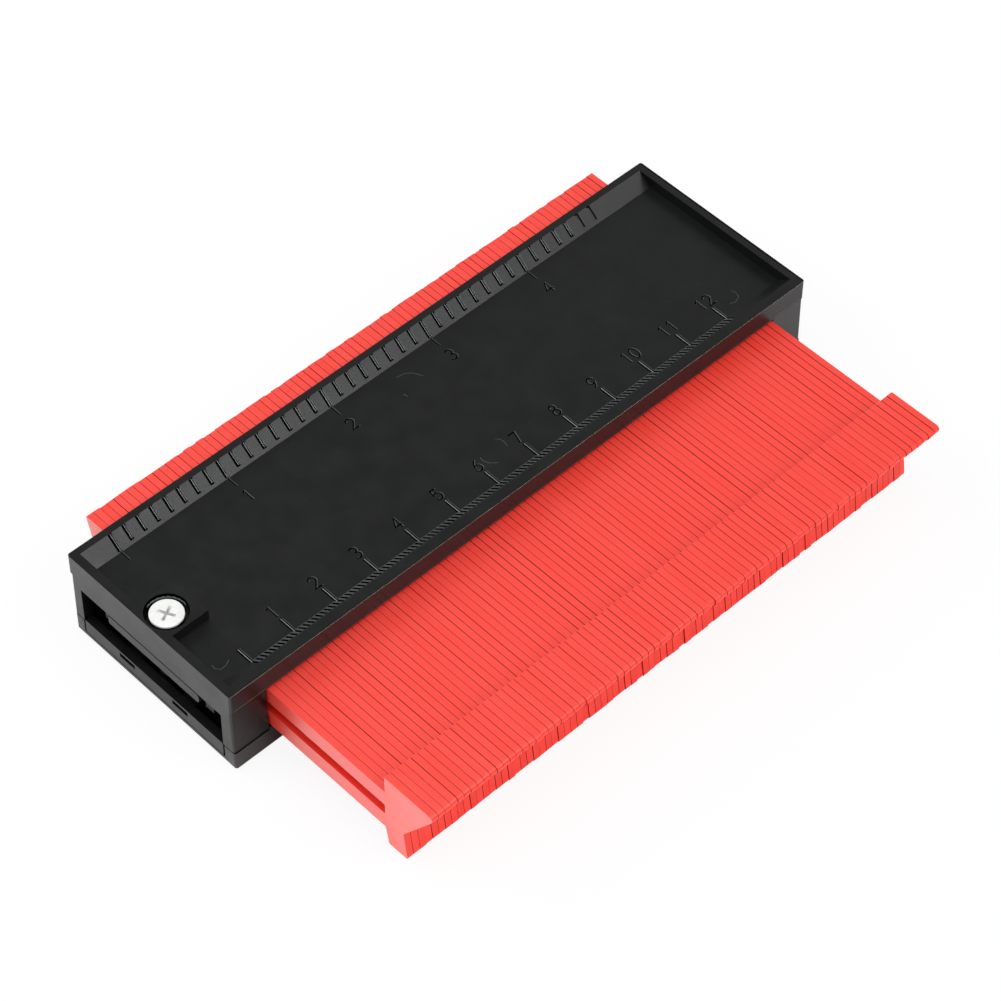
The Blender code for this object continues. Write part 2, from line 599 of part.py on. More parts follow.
def make_pins(mat):
    """The stack of pins, laid side by side along the body."""
    mesh = pin_piece_mesh(mat)
    count = PIN_COUNT // PINS_PER_PIECE
    step = PINS_PER_PIECE * PIN_PITCH
    for index in range(count):
        piece = bpy.data.objects.new(f"pin_pair_{index + 1:02d}", mesh)
        piece.location = ((index - (count - 1) / 2) * step, 0, 0)
        bpy.context.scene.collection.objects.link(piece)


def main():
    clear_scene()
    black = material("black_plastic", (0.022, 0.023, 0.023), 0.5)
    red = material("red_plastic", (0.86, 0.09, 0.06), 0.45)
    steel = material("zinc_steel", (0.78, 0.78, 0.76), 0.3, 1.0)
    felt = material("felt", (0.12, 0.12, 0.12), 0.95)
    make_upper_cover(black)
    make_lower_cover(black)
    make_guide_bar(black)
    make_pads(felt)
    make_screw(steel)
    make_pins(red)


main()
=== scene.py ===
"""Contour gauge: finishes, fine shapes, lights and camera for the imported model.

X runs along the body, Y is the way that the pins slide, with their noses towards -Y, and Z is up.
Lengths are in metres, and the helpers that take millimetres say so.
"""
import math
import random

import bmesh
import bpy
from mathutils import Matrix, Vector
from mathutils.geometry import tessellate_polygon


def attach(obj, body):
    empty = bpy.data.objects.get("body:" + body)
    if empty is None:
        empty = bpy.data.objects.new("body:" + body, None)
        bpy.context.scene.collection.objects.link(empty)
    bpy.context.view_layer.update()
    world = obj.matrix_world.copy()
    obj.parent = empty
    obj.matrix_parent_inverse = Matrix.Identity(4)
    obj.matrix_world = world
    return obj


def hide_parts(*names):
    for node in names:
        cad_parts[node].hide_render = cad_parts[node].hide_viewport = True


bl_info = {
    "name": "Contour Gauge",
    "version": (1, 0, 0),
    "blender": (4, 5, 0),
    "location": "3D View > Sidebar > Gauge",
    "description": "Dresses the contour gauge with fine shapes, finishes and a studio",
    "category": "Object",
}

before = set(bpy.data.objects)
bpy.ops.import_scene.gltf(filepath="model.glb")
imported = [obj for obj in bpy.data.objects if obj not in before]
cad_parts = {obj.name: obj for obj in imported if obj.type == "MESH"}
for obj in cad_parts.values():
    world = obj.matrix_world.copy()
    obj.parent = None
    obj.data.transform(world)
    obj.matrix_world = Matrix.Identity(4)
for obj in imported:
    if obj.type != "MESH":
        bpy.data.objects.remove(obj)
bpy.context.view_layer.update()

MM = 0.001

# Places on the body, in mm
HALF_LENGTH = 72.8
BAND_HALF_WIDTH = 22.2
RIM_TOP = 21.7
TRAY_TOP = 19.2
BAND_BOTTOM = 16.95
SKIRT_BOTTOM = 3.0
TRAY_END = 71.0
PLATFORM_SIDE = 4.8
PLATFORM_END = -60.0
RIGHT_POST = 60.0
NEAR_FOOT = -17.05
NEAR_CREST = -20.1
FAR_FOOT = 17.65
FAR_CREST = 20.7
SCREW_X = -68.25
EDGE_REACH = 0.3                # how far in from the outline a face counts as its edge
STEP_RADIUS = 4.15
STEP_DEPTH = 0.6
LEDGE_RADIUS = 3.96
LEDGE_ARC = (-10, 112)          # degrees from +X

# The two scales, in mm; a share is how far up its slope a mark starts or ends
CM_ZERO = -63.54
CM_COUNT = 12
CM_BAND = (0.01, 0.76)
CM_BAND_END = 0.3
CM_TICK = (0.06, 0.73)
CM_LINE_END = -13.5
CM_DIGITS = -12.9
INCH_ZERO = -64.1
INCH = 25.4
NOTCHES_PER_INCH = 8
NOTCH_COUNT = 37
NOTCH_DEPTH = 0.4
NOTCH_TOP = 0.99
SHORT_NOTCH = 0.24
LONG_NOTCH = 0.05
NOTCH_TOE = 0.07
INCH_LINE_END = 15.2
INCH_DIGITS = 10.6

# Places on the pins, in mm
PIN_PITCH = 1.53
PAIR_COUNT = 42
PIN_CLEARANCE = 0.012
HEAD_FACE = -52.5
TAIL_FACE = 22.5
TAIL_END = 27.5
HEAD_TOP = 20.95
HEAD_BOTTOM = 2.05
BLADE_TOP = 16.65
BLADE_BOTTOM = 6.35
SLOT_TOP = 12.8
SLOT_BOTTOM = 10.2
NOSE_LENGTH = 12.9
NOSE_START = HEAD_FACE - 4
LUG_NECK = 4.75
LUG_NECK_Z = 8.75
LUG_FOOT = 5.7
LUG_RAKE = 0.8
TAIL_RAKE = 1.2
TAIL_RAKE_HEIGHT = 5.0
END_SCATTER = 0.2               # how much one pin's ends differ from another's
TOP_SCATTER = 0.05
BEVEL_SCATTER = 0.07
CHANCE_SEED = 7

# The screw, in mm
SCREW_TOP = RIM_TOP - 0.4
# Radius and depth under the top, then radius and height
SCREW_HEAD = [(0, 0), (3.13, 0), (3.2, 0.03), (3.24, 0.1), (3.24, 0.4)]
SCREW_TIP = [(0.7, 4.2), (0.3, 3.65), (0, 3.6)]
SCREW_SEAT = TRAY_TOP + 0.3
SHANK_RADIUS = 1.1
THREAD_ROOT = 0.86
THREAD_STEP = 0.25
THREAD_END = 5.0
# Height over the top, half length and half width of the cross's two ends
CROSS_ENDS = [(0.3, 2.15, 0.36), (-0.8, 0.9, 0.16)]
CROSS_TURN = 26                 # degrees

SQUARE = ((-1, -1), (1, -1), (1, 1), (-1, 1))
ROUND_STEPS = 64                # facets of the screw and of the step round it
CORNER_STEPS = 3                # facets of a pin's rounded corner


def mm(*values):
    """A vector from lengths in mm."""
    return Vector(values) * MM


# Settings that a user would change

class GaugeSizes(bpy.types.PropertyGroup):
    """Sizes of the fine shapes."""
    edge: bpy.props.FloatProperty(name="Cover edge", description="Rounding of the covers' edges",
                                  default=0.12 * MM, unit="LENGTH", precision=5)
    rim_edge: bpy.props.FloatProperty(name="Rim edge", description="Rounding of the rim's outer edge",
                                      default=0.28 * MM, unit="LENGTH", precision=5)
    tick_width: bpy.props.FloatProperty(name="Tick width", description="Width of a millimetre tick",
                                        default=0.5 * MM, unit="LENGTH", precision=5)
    tick_depth: bpy.props.FloatProperty(name="Tick depth", description="Depth of a millimetre tick",
                                        default=0.4 * MM, unit="LENGTH", precision=5)
    digit_height: bpy.props.FloatProperty(name="Digit height", description="Height of the scales' numbers",
                                          default=2.9 * MM, unit="LENGTH", precision=5)
    bevel_depth: bpy.props.FloatProperty(name="Bevel depth", description="Depth of the bevels beside a pin",
                                         default=0.11 * MM, unit="LENGTH", precision=5)
    bevel_width: bpy.props.FloatProperty(name="Bevel width", description="Least width of these bevels",
                                         default=0.02 * MM, unit="LENGTH", precision=5)


class GaugeColours(bpy.types.PropertyGroup):
    """Colours of the finishes."""
    black: bpy.props.FloatVectorProperty(name="Black plastic", description="Colour of the two covers",
                                         subtype="COLOR", size=3, min=0, max=1,
                                         default=(0.0042, 0.0046, 0.0046))
    red: bpy.props.FloatVectorProperty(name="Red plastic", description="Colour of the pins",
                                       subtype="COLOR", size=3, min=0, max=1, default=(0.97, 0.026, 0.007))
    zinc: bpy.props.FloatVectorProperty(name="Zinc", description="Colour of the screw's plating",
                                        subtype="COLOR", size=3, min=0, max=1, default=(0.9, 0.91, 0.89))
    felt: bpy.props.FloatVectorProperty(name="Felt", description="Colour of the friction pads",
                                        subtype="COLOR", size=3, min=0, max=1, default=(0.1, 0.1, 0.1))
    floor: bpy.props.FloatVectorProperty(name="Floor", description="Colour of the paper under the gauge",
                                         subtype="COLOR", size=3, min=0, max=1, default=(0.95, 0.95, 0.95))


# Finishes

class Finish:
    """A Principled material whose nodes are added one by one."""

    def __init__(self, name, colour, roughness, metallic=0.0):
        self.material = bpy.data.materials.new(name)
        self.material.use_nodes = True
        self.nodes = self.material.node_tree.nodes
        self.links = self.material.node_tree.links
        self.shader = self.nodes["Principled BSDF"]
        self.shader.inputs["Base Color"].default_value = (*colour, 1)
        self.shader.inputs["Roughness"].default_value = roughness
        self.shader.inputs["Metallic"].default_value = metallic
        self.place = self.nodes.new("ShaderNodeTexCoord").outputs["Object"]
        self.normal = None

    def noise(self, size_mm, detail, stretch=(1, 1, 1)):
        """Noise with blotches of about a size, stretched along the axes."""
        scale = self.nodes.new("ShaderNodeMapping")
        scale.inputs["Scale"].default_value = stretch
        self.links.new(self.place, scale.inputs["Vector"])
        noise = self.nodes.new("ShaderNodeTexNoise")
        noise.inputs["Scale"].default_value = 1 / (size_mm * MM)
        noise.inputs["Detail"].default_value = detail
        self.links.new(scale.outputs["Vector"], noise.inputs["Vector"])
        return noise.outputs["Fac"]

    def ranged(self, value, low, high, from_low=0.3, from_high=0.7):
        """A value mapped to a range."""
        ranged = self.nodes.new("ShaderNodeMapRange")
        ranged.inputs["From Min"].default_value = from_low
        ranged.inputs["From Max"].default_value = from_high
        ranged.inputs["To Min"].default_value = low
        ranged.inputs["To Max"].default_value = high
        self.links.new(value, ranged.inputs["Value"])
        return ranged.outputs["Result"]

    def bump(self, height, depth_mm):
        """Adds relief on top of what is already there."""
        bump = self.nodes.new("ShaderNodeBump")
        bump.inputs["Distance"].default_value = depth_mm * MM
        bump.inputs["Strength"].default_value = 1.0
        self.links.new(height, bump.inputs["Height"])
        if self.normal is not None:
            self.links.new(self.normal, bump.inputs["Normal"])
        self.normal = bump.outputs["Normal"]
        self.links.new(self.normal, self.shader.inputs["Normal"])

    def tint(self, factor, colour_a, colour_b):
        """Base colour that runs from one colour to another with a factor."""
        mix = self.nodes.new("ShaderNodeMix")
        mix.data_type = "RGBA"
        mix.inputs[6].default_value = (*colour_a, 1)
        mix.inputs[7].default_value = (*colour_b, 1)
        self.links.new(factor, mix.inputs[0])
        self.links.new(mix.outputs[2], self.shader.inputs["Base Color"])


# How the finishes differ: a shade multiplies the plain colour, and a gloss is a level of reflection
BLACK_GLOSS = 0.52
BLACK_ROUGHNESS = 0.34
# Painted highlight: a far paler black for the scale's band, the pale strokes of the marks and digits, the
# band's lower edge and the mould's marks
HIGHLIGHT_SHADE = 16.0
# Painted highlight: a pale tan line on the near rim's edge and the platform's edges, tinted by a painted
# reflection of the red pins
EDGE_HIGHLIGHT_SHADE = (80.0, 70.0, 60.0)
# Painted highlight: the bright strips in the notches and lines, and the pale ledge round the screw
NOTCH_HIGHLIGHT_SHADE = 50.0
# Painted shade: a darker black without reflection in the ticks, the dark strokes, the step round the screw
# and the outer right and far edges
RECESS_SHADE = 0.3
# Painted shade: the tray's walls get less reflection, so they stay dark
SHADED_WALL_GLOSS = 0.15
# Painted shade: the near side of the cover is darker and less glossy
NEAR_SHADE = 0.5
NEAR_GLOSS = 0.3
NEAR_ROUGHNESS = 0.3
# Painted shade: a darker zinc in the screw's cross recess
SLOT_SHADE = 0.75
RED_COAT_IOR = 1.75
RED_COAT = 0.86
# Painted shade: less coat and gloss on the noses' faces towards the floor take out their reflection of it
NOSE_COAT = 0.3
NOSE_GLOSS = 0.3
# Painted shade: a dark red in the bevels between the pins
GROOVE_SHADE = 0.16


def scaled(colour, factor):
    """A colour made darker or lighter."""
    return tuple(min(1.0, part * factor) for part in colour)


def tinted(colour, factors):
    """A colour with each of its three parts scaled by its own factor."""
    return tuple(min(1.0, part * factor) for part, factor in zip(colour, factors))


def black_plastic(name, colour, gloss=BLACK_GLOSS, roughness=BLACK_ROUGHNESS):
    """Moulded black plastic: fine grain, faint flow marks and a little wear in the gloss."""
    finish = Finish(name, colour, roughness)
    finish.shader.inputs["Specular IOR Level"].default_value = gloss
    finish.tint(finish.ranged(finish.noise(9, 3), 0, 1), scaled(colour, 0.85), scaled(colour, 1.2))
    finish.links.new(finish.ranged(finish.noise(5, 4), roughness - 0.04, roughness + 0.04),
                     finish.shader.inputs["Roughness"])
    finish.bump(finish.noise(0.25, 3), 0.018)
    finish.bump(finish.noise(0.5, 3, (0.08, 0.08, 1)), 0.02)
    finish.bump(finish.noise(6, 2), 0.02)
    return finish.material


def red_plastic(name, colour, least_coat=RED_COAT, gloss=1.0):
    """Moulded red plastic: each pin has its own shade and coat, with drag marks along the blade."""
    finish = Finish(name, colour, 0.4)
    finish.shader.inputs["Specular IOR Level"].default_value = gloss
    finish.shader.inputs["Coat Roughness"].default_value = 0.38
    finish.shader.inputs["Coat IOR"].default_value = RED_COAT_IOR
    island = finish.nodes.new("ShaderNodeNewGeometry").outputs["Random Per Island"]
    finish.tint(island, scaled(colour, 0.95), scaled(colour, 1.03))
    streaks = finish.noise(0.3, 3, (1, 0.06, 1))
    coat = finish.nodes.new("ShaderNodeMath")
    coat.operation = "MULTIPLY"
    finish.links.new(finish.ranged(island, least_coat, least_coat * 1.28, 0, 1), coat.inputs[0])
    finish.links.new(finish.ranged(streaks, 0.86, 1.1), coat.inputs[1])
    finish.links.new(coat.outputs["Value"], finish.shader.inputs["Coat Weight"])
    finish.links.new(finish.ranged(finish.noise(2.5, 3, (1, 0.15, 1)), 0.36, 0.46),
                     finish.shader.inputs["Roughness"])
    finish.bump(streaks, 0.012)
    finish.bump(finish.noise(0.25, 2), 0.012)
    return finish.material


def zinc_plate(name, colour):
    """Bright zinc plating with turning marks and a few dull patches."""
    finish = Finish(name, colour, 0.4, 0.1)
    finish.links.new(finish.ranged(finish.noise(0.9, 4), 0.25, 0.42), finish.shader.inputs["Roughness"])
    finish.tint(finish.ranged(finish.noise(1.5, 3), 0, 1), scaled(colour, 0.94), scaled(colour, 1.02))
    finish.bump(finish.noise(0.35, 3), 0.01)
    return finish.material


def felt_pad(name, colour):
    """Dense felt."""
    finish = Finish(name, colour, 0.95)
    finish.tint(finish.ranged(finish.noise(0.6, 4), 0, 1), scaled(colour, 0.7), scaled(colour, 1.3))
    finish.bump(finish.noise(0.3, 4), 0.08)
    return finish.material


# Shapes

def packed_shape(node):
    """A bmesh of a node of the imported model, with its flat faces merged."""
    bm = bmesh.new()
    bm.from_mesh(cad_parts[node].data)
    bmesh.ops.remove_doubles(bm, verts=bm.verts[:], dist=0.001 * MM)
    bmesh.ops.dissolve_limit(bm, angle_limit=math.radians(0.5), verts=bm.verts[:], edges=bm.edges[:])
    return bm


def sharp_edges(bm, degrees):
    """Edges between faces that meet at more than an angle."""
    return [edge for edge in bm.edges
            if len(edge.link_faces) == 2 and edge.calc_face_angle(0) > math.radians(degrees)]


def round_edges(bm, edges, radius, segments=3):
    """Rounds edges."""
    bmesh.ops.bevel(bm, geom=edges, offset=radius, segments=segments, profile=0.5, affect="EDGES",
                    clamp_overlap=True)


def smooth(obj, degrees=33):
    """Smooth shading that stays sharp over an angle, with flat faces kept flat."""
    bm = bmesh.new()
    bm.from_mesh(obj.data)
    for face in bm.faces:
        face.smooth = True
    for edge in bm.edges:
        edge.smooth = len(edge.link_faces) == 2 and edge.calc_face_angle(0) < math.radians(degrees)
    bm.to_mesh(obj.data)
    bm.free()
    weighted = obj.modifiers.new("Weighted normals", "WEIGHTED_NORMAL")
    weighted.keep_sharp = True
    weighted.weight = 100


def paint_cutter(bm, start, index):
    """Gives the faces made since a count the index of their material."""
    bm.faces.ensure_lookup_table()
    for face in bm.faces[start:]:
        face.material_index = index


def add_piece(name, bm, materials, body, nodes):
    """An object from a bmesh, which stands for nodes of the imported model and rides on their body."""
    mesh = bpy.data.meshes.new(name)
    bm.to_mesh(mesh)
    bm.free()
    obj = bpy.data.objects.new(name, mesh)
    bpy.context.scene.collection.objects.link(obj)
    for material in materials:
        mesh.materials.append(material)
    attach(obj, body)
    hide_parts(*nodes)
    return obj


def engrave(obj, cutter_bm):
    """Cuts one mesh out of an object and keeps the result as its mesh."""
    mesh = bpy.data.meshes.new("cutter")
    cutter_bm.to_mesh(mesh)
    cutter_bm.free()
    cutter = bpy.data.objects.new("cutter", mesh)
    bpy.context.scene.collection.objects.link(cutter)
    cut = obj.modifiers.new("Engraving", "BOOLEAN")
    cut.operation = "DIFFERENCE"
    cut.solver = "EXACT"
    cut.use_self = True
    cut.object = cutter
    graph = bpy.context.evaluated_depsgraph_get()
    result = bpy.data.meshes.new_from_object(obj.evaluated_get(graph))
    obj.modifiers.clear()
    obj.data = result
    bpy.data.objects.remove(cutter, do_unlink=True)


def ribbon(bm, points, normal, width, depth, rise, closed=False):
    """A cutter along points of a surface, from a depth below it to a rise above it."""
    count = len(points)
    rings = []
    for index, point in enumerate(points):
        before = points[index - 1] if index or closed else None
        after = points[(index + 1) % count] if index < count - 1 or closed else None
        ways = [(b - a).normalized() for a, b in ((before, point), (point, after))
                if a is not None and b is not None]
        way = sum(ways, Vector()).normalized()
        side = normal.cross(way).normalized()
        reach = width / 2 / max(0.5, normal.cross(ways[0]).normalized().dot(side))
        rings.append([bm.verts.new(point + side * reach * s + normal * h)
                      for s, h in ((-1, -depth), (1, -depth), (1, rise), (-1, rise))])
    pairs = list(zip(rings, rings[1:])) + ([(rings[-1], rings[0])] if closed else [])
    for low, high in pairs:
        for corner in range(4):
            bm.faces.new((low[corner - 1], low[corner], high[corner], high[corner - 1]))
    if not closed:
        bm.faces.new(rings[0])
        bm.faces.new(rings[-1][::-1])


def bridge(bm, low, high):
    """A closed shape between two rings of as many points."""
    for corner in range(len(low)):
        bm.faces.new((low[corner - 1], low[corner], high[corner], high[corner - 1]))
    bm.faces.new(low)
    bm.faces.new(high[::-1])


def channels(bm, start, end, normal, strokes):
    """Cutters between two points of a surface, one for each stroke of a table in mm."""
    side = (end - start).normalized().cross(normal)
    if side.x < 0:
        side.negate()
    for left, right, depth, finish in strokes:
        count = len(bm.faces)
        section = [(left, -depth), (right, -depth), (right, CUT_RISE), (left, CUT_RISE)]
        rings = [[bm.verts.new(point + (side * across + normal * height) * MM) for across, height in section]
                 for point in (start, end)]
        bridge(bm, *rings)
        paint_cutter(bm, count, finish)


def arc(x, y, rx, ry, start, end, steps=10):
    """Points of an ellipse between two angles in degrees."""
    points = []
    for step in range(steps + 1):
        angle = math.radians(start + (end - start) * step / steps)
        points.append((x + rx * math.cos(angle), y + ry * math.sin(angle)))
    return points


# Strokes of the digits in a cell 0.6 wide and 1 high; True marks a closed loop
GLYPHS = {
    "0": [(arc(0.3, 0.5, 0.26, 0.47, 0, 330, 11), True)],
    "1": [([(0.16, 0.8), (0.34, 0.98), (0.34, 0.02)], False)],
    "2": [(arc(0.3, 0.7, 0.25, 0.27, 165, -35, 8) + [(0.05, 0.03), (0.57, 0.03)], False)],
    "3": [(arc(0.28, 0.74, 0.23, 0.23, 150, -80, 8) + arc(0.28, 0.28, 0.26, 0.26, 80, -150, 8), False)],
    "4": [([(0.44, 0.02), (0.44, 0.97), (0.05, 0.3), (0.58, 0.3)], False)],
    "5": [([(0.52, 0.97), (0.13, 0.97), (0.09, 0.56)] + arc(0.29, 0.34, 0.26, 0.31, 130, -150, 9), False)],
    "6": [([(0.47, 0.95), (0.25, 0.72)] + arc(0.3, 0.3, 0.25, 0.28, 160, -170, 11), False)],
    "7": [([(0.05, 0.97), (0.55, 0.97), (0.24, 0.02)], False)],
    "8": [(arc(0.3, 0.74, 0.2, 0.22, 0, 330, 9), True), (arc(0.3, 0.27, 0.25, 0.25, 0, 330, 9), True)],
    "9": [([(0.13, 0.05), (0.35, 0.28)] + arc(0.3, 0.7, 0.25, 0.28, -20, -350, 11), False)],
}
GLYPH_WIDTH = 0.6
GLYPH_SPACE = 0.14
UP = Vector((0, 0, 1))
CUT_RISE = 0.4                  # how far a cutter stands out of the surface, in mm

# Places of the finishes on the upper cover, on a pin and on the screw, after the plain one at 0
PAINTED_HIGHLIGHT = 1
PAINTED_SHADE = 2
EDGE_HIGHLIGHT = 3
SHADED_WALL = 4
SHADED_NEAR_SIDE = 5
NOTCH_HIGHLIGHT = 6
PLAIN = 0
NOSE = 1
SHADED_GROOVE = 2
SHADED_CROSS = 1

# In the tables below, strokes with the pale finishes are painted highlight and strokes with the dark finish
# are painted shade
# Strokes of the marks, in mm: left and right limits across a line, depth and finish
BAND_EDGE = ((-0.3, -0.12, 0.03, PAINTED_HIGHLIGHT), (-0.02, 0.2, 0.45, PAINTED_SHADE))
RIM_LINE = ((-0.12, 0.06, 0.03, PAINTED_SHADE),)
CM_LINE = ((-0.34, 0.0, 0.12, PAINTED_SHADE), (-0.01, 0.15, 0.04, NOTCH_HIGHLIGHT), (0.17, 0.38, 0.06, PAINTED_SHADE),
           (0.4, 0.54, 0.04, PAINTED_HIGHLIGHT))
NOTCH_LINES = ((-0.6, 0.3, NOTCH_DEPTH + 0.06, PAINTED_SHADE), (0.06, 0.19, NOTCH_DEPTH + 0.08, NOTCH_HIGHLIGHT),
               (0.36, 0.52, NOTCH_DEPTH - 0.02, NOTCH_HIGHLIGHT))
TOE_LINE = ((-0.56, 0.3, NOTCH_DEPTH + 0.06, PAINTED_SHADE),)
INCH_LINE = ((0.0, 0.14, 0.04, PAINTED_HIGHLIGHT), (-0.26, 0.0, 0.11, PAINTED_SHADE))
# Strokes of the digits, in mm: shift to the right, width, depth and finish
DIGIT_STROKES = ((0.1, 0.24, 0.05, PAINTED_HIGHLIGHT), (-0.13, 0.3, 0.11, PAINTED_SHADE))

# Faint marks that the mould left on the tray's floor, in mm: width, depth and lines of (x, y)
MOULD_WIDTH = 0.14
MOULD_DEPTH = 0.04
MOULD_MARKS = (
    [(3.4, -8.92), (4.04, -9.75), (4.11, -10.86), (3.92, -11.73)],
    [(-1.77, -10.35), (-1.9, -11.48), (-1.37, -12.6), (-0.14, -13.64)],
    [(0.51, 14.83), (2.37, 14.54), (3.55, 13.52), (4.44, 11.71)],
    [(-1.41, 10.91), (-1.19, 9.85)],
    [(-69.01, -12.94), (-69.16, -13.95), (-68.44, -14.81), (-67.17, -14.68), (-66.13, -14.14)],
    [(62.34, -12.8), (62.75, -13.73), (62.3, -14.91), (60.9, -15.4), (59.76, -15.01)],
)


def number(bm, text, centre_x, bottom_y, height):
    """Cutters for a number on the tray's floor, in mm: strokes painted pale as a highlight, with their left
    side painted dark as shade.
    """
    total = len(text) * GLYPH_WIDTH + (len(text) - 1) * GLYPH_SPACE
    for index, digit in enumerate(text):
        left = centre_x + (index * (GLYPH_WIDTH + GLYPH_SPACE) - total / 2) * height
        for points, closed in GLYPHS[digit]:
            for shift, width, depth, finish in DIGIT_STROKES:
                path = [mm(left + x * height + shift, bottom_y + y * height, TRAY_TOP) for x, y in points]
                count = len(bm.faces)
                ribbon(bm, path, UP, width * MM, depth * MM, CUT_RISE * MM, closed)
                paint_cutter(bm, count, finish)


def slope_point(x, foot_y, crest_y, share):
    """A point of a sloped scale, at a share of the way up, from places in mm."""
    return mm(x, foot_y + (crest_y - foot_y) * share, TRAY_TOP + (RIM_TOP - TRAY_TOP) * share)


def slope_normal(foot_y, crest_y):
    """Outward normal of a sloped scale, from places in mm."""
    along = (slope_point(0, foot_y, crest_y, 1) - slope_point(0, foot_y, crest_y, 0)).normalized()
    across = Vector((1, 0, 0)).cross(along)
    return across if across.z > 0 else -across


def worn_edges(bm):
    """Cutters for a pale line of painted highlight and a dark line of painted shade along the lower edge of
    the rim band, and a dark line of painted shade along the right rim.
    """
    edge = [mm(x, -BAND_HALF_WIDTH, BAND_BOTTOM) for x in (-HALF_LENGTH + 0.6, HALF_LENGTH - 0.6)]
    channels(bm, *edge, Vector((0, -1, 0)), BAND_EDGE)
    edge = [mm(HALF_LENGTH - 0.3, y, RIM_TOP) for y in (-BAND_HALF_WIDTH + 0.3, BAND_HALF_WIDTH - 0.3)]
    channels(bm, *edge, UP, RIM_LINE)


def centimetre_scale(bm, sizes):
    """Cutters for the near scale: a band painted pale as a highlight with ticks painted dark as shade, and
    lines and numbers on the floor.
    """
    near = slope_normal(NEAR_FOOT, NEAR_CREST)
    half_scale = 5 * CM_COUNT
    band = [slope_point(CM_ZERO + half_scale, NEAR_FOOT, NEAR_CREST, share) for share in CM_BAND]
    reach = half_scale + CM_BAND_END
    channels(bm, *band, near, ((-reach, reach, 0.03, PAINTED_HIGHLIGHT),))
    half = sizes.tick_width / MM / 2
    for tick in range(10 * CM_COUNT + 1):
        ends = [slope_point(CM_ZERO + tick, NEAR_FOOT, NEAR_CREST, share) for share in CM_TICK]
        channels(bm, *ends, near, ((-half, half, sizes.tick_depth / MM, PAINTED_SHADE),))
    for centimetre in range(CM_COUNT + 1):
        x = CM_ZERO + 10 * centimetre
        channels(bm, mm(x, NEAR_FOOT - 0.35, TRAY_TOP), mm(x, CM_LINE_END, TRAY_TOP), UP, CM_LINE)
        if centimetre:
            number(bm, str(centimetre), x, CM_DIGITS, sizes.digit_height / MM)


def inch_scale(bm, sizes):
    """Cutters for the far scale: each notch gets a channel painted dark as shade, edges painted pale as a
    highlight and, if short, a hooked foot painted dark as shade.
    """
    far = slope_normal(FAR_FOOT, FAR_CREST)
    for notch in range(NOTCH_COUNT):
        x = INCH_ZERO + INCH * notch / NOTCHES_PER_INCH
        whole = notch % NOTCHES_PER_INCH == 0
        foot_share = LONG_NOTCH if whole else SHORT_NOTCH
        crest, foot = (slope_point(x, FAR_FOOT, FAR_CREST, share) for share in (NOTCH_TOP, foot_share))
        channels(bm, crest, foot, far, NOTCH_LINES)
        if whole:
            channels(bm, mm(x, FAR_FOOT + 0.1, TRAY_TOP), mm(x, INCH_LINE_END, TRAY_TOP), UP, INCH_LINE)
            if notch:
                number(bm, str(notch // NOTCHES_PER_INCH), x, INCH_DIGITS, sizes.digit_height / MM)
        else:
            toe = slope_point(x, FAR_FOOT, FAR_CREST, foot_share - NOTCH_TOE)
            channels(bm, foot, toe, far, TOE_LINE)


def engravings(sizes):
    """Cutters for the edges, both scales, the marks of the mould and the step round the screw."""
    bm = bmesh.new()
    worn_edges(bm)
    centimetre_scale(bm, sizes)
    inch_scale(bm, sizes)
    # The mould's marks are painted pale as a highlight
    count = len(bm.faces)
    for points in MOULD_MARKS:
        path = [mm(x, y, TRAY_TOP) for x, y in points]
        ribbon(bm, path, UP, MOULD_WIDTH * MM, MOULD_DEPTH * MM, CUT_RISE * MM)
    paint_cutter(bm, count, PAINTED_HIGHLIGHT)
    # The step round the screw is painted dark as shade
    count = len(bm.faces)
    middle = RIM_TOP + (CUT_RISE - STEP_DEPTH) / 2
    bmesh.ops.create_cone(bm, cap_ends=True, segments=ROUND_STEPS, radius1=STEP_RADIUS * MM,
                          radius2=STEP_RADIUS * MM, depth=(STEP_DEPTH + CUT_RISE) * MM,
                          matrix=Matrix.Translation(mm(SCREW_X, 0, middle)))
    paint_cutter(bm, count, PAINTED_SHADE)
    bmesh.ops.recalc_face_normals(bm, faces=bm.faces[:])
    return bm


def add_ledge(obj):
    """Adds the thin ledge at the far side of the step round the screw, painted pale as a highlight."""
    bm = bmesh.new()
    bm.from_mesh(obj.data)
    count = len(bm.faces)
    outer, inner = STEP_RADIUS + 0.03, LEDGE_RADIUS
    low, high = RIM_TOP - STEP_DEPTH - 0.5, RIM_TOP - STEP_DEPTH
    section = [(inner, low), (outer, low), (outer, high), (inner + 0.06, high), (inner, high - 0.06)]
    rings = []
    for cosine, sine in arc(0, 0, 1, 1, *LEDGE_ARC, 24):
        rings.append([bm.verts.new(mm(SCREW_X + radius * cosine, radius * sine, z)) for radius, z in section])
    for low_ring, high_ring in zip(rings, rings[1:]):
        for corner in range(len(section)):
            bm.faces.new((low_ring[corner], low_ring[corner - 1], high_ring[corner - 1], high_ring[corner]))
    bm.faces.new(rings[0])
    bm.faces.new(rings[-1][::-1])
    paint_cutter(bm, count, NOTCH_HIGHLIGHT)
    bmesh.ops.recalc_face_normals(bm, faces=bm.faces[count:])
    bm.to_mesh(obj.data)
    bm.free()


